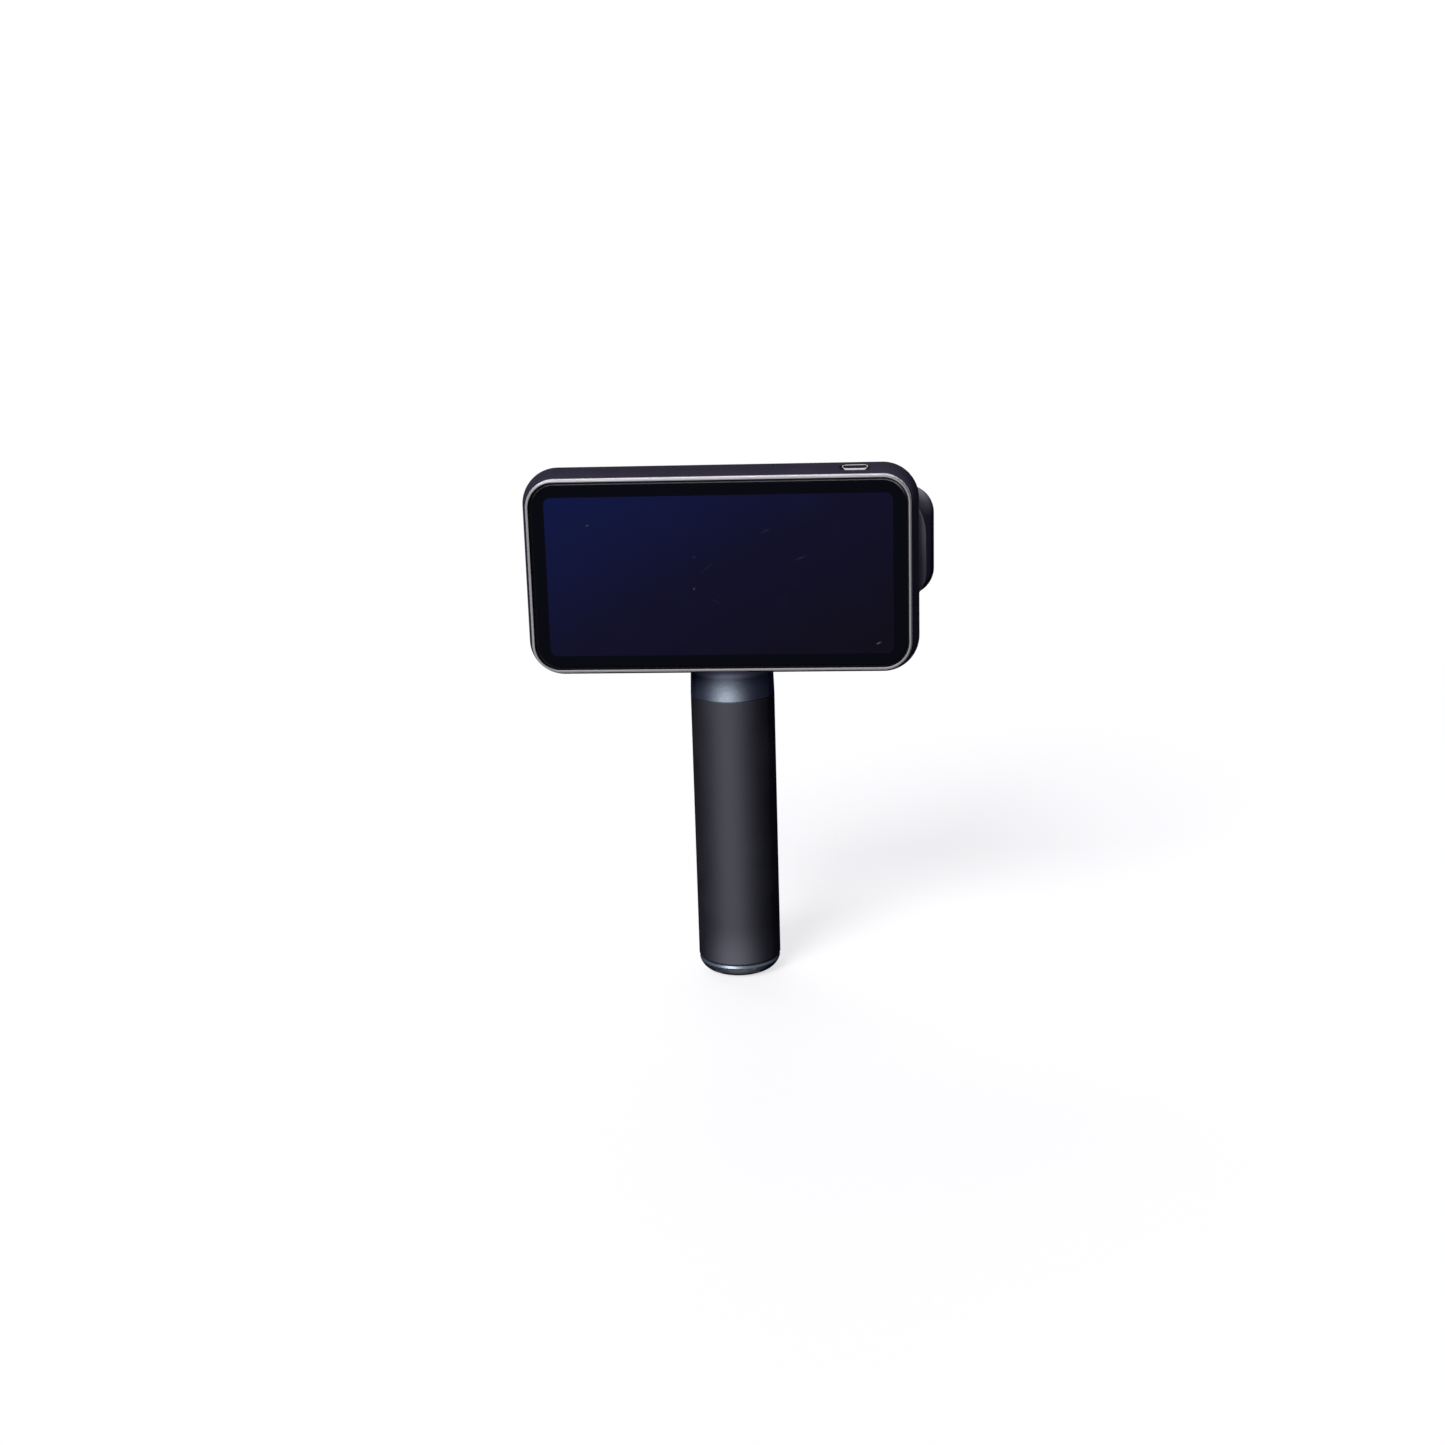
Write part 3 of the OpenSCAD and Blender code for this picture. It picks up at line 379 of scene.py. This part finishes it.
def grip_rubber(name, colour, highlight_grey, low_highlight, fingers):
    """Soft-touch sleeve: a painted highlight makes it paler in an upright band in front, most at its low end, and
    it is worn paler behind by the fingers.
    """
    angle, spread = -2, 20.5
    low_highlight_from, low_highlight_to = mm(24, 8)
    side_y, back_y = mm(1, 9)
    g = Skin(name)
    pebble = g.noise(3.0, 3.0)
    cloud = g.noise(0.06, 3.0)
    # Painted highlight: a paler upright band in front, paler still towards the low end
    highlight_band = g.round_handle(angle, spread)
    low_end = g.span(g.z, low_highlight_from, low_highlight_to, 0.0, 0.5, smooth=True)
    base = g.mix(highlight_band, colour, highlight_grey)
    base = g.mix(g.times(highlight_band, low_end), base, low_highlight)
    base = g.mix(g.span(g.y, side_y, back_y, 0.0, 0.8, smooth=True), base, fingers)
    base = g.flecked(base, highlight_grey, pebble, MOST, 0.12)
    g.satin(g.flecked(base, highlight_grey, cloud, UPPER, 0.10), 0.1)
    g.rough(cloud, 0.52, 0.64)
    g.relief(pebble, 0.012)
    return g.material


def scratch(g, base, x, z, length, tilt, share):
    """A pale hair line or speck on the glass, by its place and length in millimetres and its tilt in degrees."""
    half_width = 0.16 * MM
    turn = math.radians(tilt)
    right, up = g.less(g.x, x * MM), g.less(g.z, z * MM)
    along = g.math("ADD", g.times(right, math.cos(turn)), g.times(up, math.sin(turn)))
    aside = g.less(g.times(up, math.cos(turn)), g.times(right, math.sin(turn)))
    mark = g.bell(g.math("DIVIDE", along, length * MM / 3), g.math("DIVIDE", aside, half_width))
    return g.mix(g.times(mark, share), base, srgb(150, 152, 160))


def screen_glass(name):
    """Coated cover glass: black printed border, dark display, ground edge with a painted highlight on top, specks
    and smears.
    """
    panel_edge, lit_corner, lit_soft = mm(1.2, 2.8, 0.15)
    glass_corner = 9.3 * MM
    ground_line = mm(-0.52, -0.44)
    middle, panel = flat(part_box("display_panel"), "xz")
    size = [length - 2 * panel_edge for length in panel]
    ends = [(centre - length / 2, centre + length / 2) for centre, length in zip(middle, size)]
    g = Skin(name)
    front = (g.x, g.z)
    lit = g.span(g.outline(front, middle, size, lit_corner), -lit_soft, lit_soft, 1.0, 0.0, smooth=True)
    across = g.span(g.x, *ends[0])
    down = g.span(g.z, *ends[1][::-1])
    ramp = g.add("ShaderNodeValToRGB")
    g.feed(ramp.inputs[0], g.math("ADD", g.times(across, 0.55), g.times(down, 0.5)))
    stops = ramp.color_ramp.elements
    stops[0].position, stops[0].color = 0.0, srgb(13, 22, 66)
    stops[1].position, stops[1].color = 0.95, srgb(13, 9, 20)
    stops.new(0.5).color = srgb(15, 13, 38)
    smear = g.noise(0.05, 4.0)
    glow = g.flecked(ramp.outputs[0], srgb(24, 28, 60), smear, (0.5, 0.75), 0.12)
    base = g.mix(lit, srgb(3, 3, 5), glow)
    for marks in SCRATCHES:
        base = scratch(g, base, *marks)
    rim = g.outline(front, *flat(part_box("cover_glass"), "xz"), glass_corner)
    # Painted highlight: the ground edge is paler where it faces up
    edge = g.mix(g.facing(UP, 0.15, 0.7), srgb(26, 26, 30), srgb(124, 126, 128))
    base = g.mix(g.span(rim, *ground_line, smooth=True), base, edge)
    g.set(Base_Color=base, Specular_IOR_Level=0.06, Specular_Tint=srgb(190, 200, 255))
    g.set(Roughness=g.span(smear, 0.4, 0.8, 0.03, 0.14))
    return g.material


def usb_metal(name):
    """Nickel shell of the charging port with its dark tongue."""
    half_thick, half_long, soft = mm(0.45, 3.4, 0.05)
    (middle_y, middle_z), _ = flat(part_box("usb_port"), "yz")
    g = Skin(name)
    drawn = g.noise(2.0, 3.0, (0.2, 1, 1))
    tongue = g.times(g.band(g.y, middle_y, half_thick, soft), g.band(g.z, middle_z, half_long, soft))
    base = g.mix(g.span(drawn, *ALL), srgb(190, 190, 192), srgb(165, 165, 168))
    g.set(Base_Color=g.mix(tongue, base, srgb(20, 20, 22)), Metallic=g.less(1.0, tongue))
    g.rough(drawn, 0.24, 0.36)
    g.relief(drawn, 0.004)
    return g.material


def foot_rubber(name):
    """Soft foot with moulded rings."""
    pitch = 1.2 * MM
    g = Skin(name)
    away = g.math("SQRT", g.math("ADD", g.times(g.x, g.x), g.times(g.y, g.y)))
    rings = g.math("SINE", g.times(away, 2 * math.pi / pitch))
    pebble = g.noise(3.0, 3.0)
    base = g.mix(g.span(rings, -1.0, 1.0, 0.0, 0.6), srgb(22, 22, 24), srgb(44, 44, 47))
    g.set(Base_Color=g.flecked(base, srgb(52, 52, 55), pebble, UPPER, 0.4), Specular_IOR_Level=0.2)
    g.rough(pebble, 0.7, 0.85)
    g.relief(g.math("ADD", rings, g.times(pebble, 0.4)), 0.12)
    return g.material


def circuit_board(name):
    """Solder-masked board with traces."""
    traces_per_m = 300
    g = Skin(name)
    trace = g.add("ShaderNodeTexBrick")
    g.feed(trace.inputs["Vector"], g.place)
    trace.inputs["Scale"].default_value = traces_per_m
    trace.inputs["Color1"].default_value = srgb(14, 66, 44)
    trace.inputs["Color2"].default_value = srgb(18, 80, 52)
    trace.inputs["Mortar"].default_value = srgb(52, 118, 80)
    cloud = g.noise(0.3, 2.0)
    g.set(Base_Color=g.flecked(trace.outputs[0], srgb(10, 54, 36), cloud, ALL, 0.4))
    g.rough(cloud, 0.3, 0.45)
    return g.material


POD_SEAM_Y = 15 * MM
KEY_LENGTH = 9.7 * MM
CAP_NICKS_Z = 3.2 * MM
# Dust and hair lines on the glass: place in X and Z, length, tilt, and how pale
SCRATCHES = [(-52.7, 188.2, 0.9, 30, 0.26), (15.8, 185.0, 3.2, 25, 0.06), (-11.8, 175.2, 0.8, 0, 0.10),
             (29.2, 174.4, 3.5, 20, 0.07), (-12.2, 162.9, 0.9, 60, 0.22), (58.8, 140.7, 1.6, 25, 0.36),
             (-7.0, 171.0, 5.0, 40, 0.03), (-4.0, 158.0, 4.0, -30, 0.02)]
# Painted highlights as pale spots: place and spread in X and Z
COLLAR_HIGHLIGHT = (mm(-0.9, 117.6), mm(3.9, 4.7))
CAP_HIGHLIGHT = (mm(1.0, 4.0), mm(5.0, 3.0))
# Colour of the painted highlight on the pod's top
TOP_SHEEN_PAINT = srgb(146, 144, 151)
# Painted light on tops: from and to a height, colour and, on plastic, share
POD_PAINTED_TOP = (*mm(184, 194), TOP_SHEEN_PAINT, 0.32)
SADDLE_PAINTED_TOP = (*mm(164, 192), srgb(130, 128, 136), 0.85)
COLLAR_PAINTED_TOP = (*mm(125.6, 127.8), srgb(150, 154, 176))

shell = plastic("shell", srgb(49, 46, 58), srgb(59, 56, 68), 0.5, 0.2)
pod_shell = plastic("pod_shell", srgb(36, 35, 46), srgb(48, 46, 57), 0.42, 0.3, POD_SEAM_Y, TOP_SHEEN_PAINT, POD_PAINTED_TOP)
saddle = plastic("saddle", srgb(78, 77, 86), srgb(88, 87, 96), 0.55, 0.15, painted_top=SADDLE_PAINTED_TOP)
inner_black = plastic("inner_black", srgb(20, 20, 22), srgb(34, 34, 37), 0.6, 0.2)
display = plastic("display", srgb(14, 16, 40), srgb(22, 26, 58), 0.2, 0.1)
bezel = bezel_metal("bezel", srgb(153, 151, 155), srgb(135, 133, 138), srgb(209, 202, 205), srgb(16, 16, 19),
                    0.32, 0.3)
key_metal = cut_key("key_metal", srgb(44, 41, 52), srgb(228, 224, 226))
ring_metal = foot_ring("ring_metal", srgb(64, 73, 82), srgb(52, 60, 68), srgb(98, 105, 114))
steel = metal("steel", srgb(176, 177, 180), srgb(150, 151, 155), 0.3, per_mm=3.0)
dark_steel = metal("dark_steel", srgb(82, 82, 87), srgb(64, 64, 69), 0.34, per_mm=4.0)
frame_metal = metal("frame_metal", srgb(190, 191, 194), srgb(168, 169, 173), 0.34, (0.1, 1, 1))
brass = metal("brass", srgb(214, 178, 98), srgb(186, 150, 78), 0.25)
copper = metal("copper", srgb(198, 120, 72), srgb(158, 86, 46), 0.3, (0.1, 6, 0.1), 3.0, 0.03)
collar = anodised("collar", srgb(36, 39, 54), srgb(46, 50, 66), srgb(178, 191, 203), 0.45, 0.15, COLLAR_HIGHLIGHT,
                  chipped=0.15, painted_top=COLLAR_PAINTED_TOP)
cap_skin = anodised("cap_skin", srgb(38, 44, 56), srgb(54, 61, 74), srgb(205, 208, 214), 0.36, 0.4, CAP_HIGHLIGHT,
                    share=0.2, nicked=CAP_NICKS_Z)
grip = grip_rubber("grip", srgb(25, 25, 30), srgb(76, 77, 84), srgb(112, 113, 121), srgb(62, 62, 68))
black_rubber = rubber("black_rubber", srgb(24, 24, 26), srgb(40, 40, 43), 0.75, 0.2)
lead_red = rubber("lead_red", srgb(168, 42, 36), srgb(190, 62, 52), 0.5, 0.3, 2.0, 0.01)
cell_wrap = rubber("cell_wrap", srgb(52, 116, 80), srgb(66, 134, 96), 0.35, 0.4, 1.0, 0.005)
flex_amber = rubber("flex_amber", srgb(146, 104, 40), srgb(172, 128, 58), 0.4, 0.4, 2.0, 0.005)
ferrite = rubber("ferrite", srgb(58, 58, 60), srgb(78, 78, 80), 0.6, 0.3, 2.0, 0.02)
board = circuit_board("board")

looks = {
    "front_bezel": bezel, "cover_glass": screen_glass("screen_glass"), "glass_gasket": black_rubber,
    "display_panel": display, "display_flex": flex_amber, "mid_frame": frame_metal,
    "main_board": board, "processor_shield": frame_metal, "board_screws": steel,
    "speaker": inner_black, "usb_port": usb_metal("usb_metal"), "rear_housing": shell,
    "housing_screws": dark_steel, "power_key": key_metal, "key_board": board, "key_switch": inner_black,
    "antenna_base": saddle, "antenna_front": pod_shell, "antenna_back": pod_shell,
    "antenna_screws": steel, "reader_board": board, "antenna_bobbin": inner_black,
    "antenna_coil": copper, "ferrite_core": ferrite, "antenna_lead": lead_red,
    "handle_collar": collar, "neck_screws": dark_steel, "grip_sleeve": grip, "handle_tube": frame_metal,
    "contact_holder": inner_black, "contact_pin": brass, "power_lead": lead_red,
    "battery_cell": cell_wrap, "battery_spring": steel, "base_ring": ring_metal, "base_cap": cap_skin,
    "base_seal": black_rubber, "foot_pad": foot_rubber("foot_rubber"),
}
for name, material in looks.items():
    mesh = nodes[name].data
    mesh.materials.clear()
    mesh.materials.append(material)

# Weak fill light, with the violet of the shaded sides
FILL_STRENGTH, FILL_TINT = 0.10, (1.0, 0.93, 1.9, 1)
# The floor lies just under the foot, and turns from this glow to plain white between two distances in metres
FLOOR_Z, FLOOR_RADIUS = -0.1 * MM, 60
FLOOR_GLOW, FLOOR_NEAR, FLOOR_FAR = 0.68, 0.25, 0.9
FLOOR_BOUNCE = 0.12
# Soft lamps: name, direction they shine from, strength and angle in degrees
SUNS = [("key", (-0.36, -0.725, 0.588), 3.4, 30), ("back", (-0.45, 0.85, 0.55), 1.2, 50),
        ("side", (0.7, 0.6, 0.5), 0.25, 50), ("rear", (0.1, 1.0, 0.1), 1.7, 45)]
# Camera: place in metres; azimuth, elevation and roll in degrees; sensor width and lens in millimetres
CAMERA_PLACE = (0.06506, -0.77083, 0.30963)
CAMERA_AIM = (5.151, 14.855, 1.728)
SENSOR_WIDTH, LENS = 36.0, 49.54


def make_world():
    """White where it is seen, dimmer overhead, and a weak fill light elsewhere."""
    world = bpy.data.worlds.new("studio")
    bpy.context.scene.world = world
    world.use_nodes = True
    g = Graph(world.node_tree)
    height = g.split(g.add("ShaderNodeTexCoord").outputs["Generated"])[UP]
    ceiling = g.span(height, 0.5, 0.9, 1.0, 0.4, smooth=True)
    seen = g.seen_ray()
    background = g.tree.nodes["Background"]
    g.feed(background.inputs["Color"], g.mix(seen, FILL_TINT, WHITE))
    g.feed(background.inputs["Strength"], g.span(seen, 0.0, 1.0, FILL_STRENGTH, ceiling))


def make_floor():
    """Pale floor: takes the shadow near the part, is plain white further out and clear from below."""
    bpy.ops.mesh.primitive_circle_add(vertices=128, radius=FLOOR_RADIUS, fill_type="NGON")
    floor = bpy.context.object
    floor.name = "floor"
    floor.location.z = FLOOR_Z
    material = bpy.data.materials.new("floor")
    material.use_nodes = True
    floor.data.materials.append(material)
    g = Graph(material.node_tree)
    g.tree.nodes.remove(g.tree.nodes["Principled BSDF"])
    geometry = g.add("ShaderNodeNewGeometry").outputs
    away = g.add("ShaderNodeVectorMath", operation="LENGTH")
    g.feed(away.inputs[0], geometry["Position"])
    white = g.span(away.outputs["Value"], FLOOR_NEAR, FLOOR_FAR, FLOOR_GLOW, 1.0, smooth=True)
    shown = g.blend(white, g.diffuse(1), g.add("ShaderNodeEmission").outputs[0])
    above = g.blend(g.seen_ray(), g.diffuse(FLOOR_BOUNCE), shown)
    clear = g.add("ShaderNodeBsdfTransparent").outputs[0]
    g.feed(g.tree.nodes["Material Output"].inputs["Surface"], g.blend(geometry["Backfacing"], above, clear))


def make_sun(name, source, strength, angle):
    """A soft distant lamp that shines from the direction of source."""
    lamp = bpy.data.lights.new(name, "SUN")
    lamp.energy, lamp.angle = strength, math.radians(angle)
    sun = bpy.data.objects.new(name, lamp)
    sun.rotation_mode = "QUATERNION"
    sun.rotation_quaternion = Vector(source).to_track_quat("Z", "Y")
    bpy.context.scene.collection.objects.link(sun)


def make_camera():
    """The photograph's camera: its place, aim, tilt and lens."""
    azimuth, elevation, roll = map(math.radians, CAMERA_AIM)
    ahead = Vector((-math.sin(azimuth) * math.cos(elevation),
                    math.cos(azimuth) * math.cos(elevation), -math.sin(elevation)))
    right = Vector((math.cos(azimuth), math.sin(azimuth), 0))
    up = right.cross(ahead)
    across = math.cos(roll) * right - math.sin(roll) * up
    over = math.sin(roll) * right + math.cos(roll) * up
    data = bpy.data.cameras.new("camera")
    data.sensor_width, data.lens = SENSOR_WIDTH, LENS
    camera = bpy.data.objects.new("camera", data)
    turn = Matrix((across, over, -ahead)).transposed()
    camera.matrix_world = Matrix.Translation(CAMERA_PLACE) @ turn.to_4x4()
    bpy.context.scene.collection.objects.link(camera)
    bpy.context.scene.camera = camera


make_world()
make_floor()
for sun in SUNS:
    make_sun(*sun)
make_camera()
bpy.context.scene.view_settings.view_transform = "Standard"
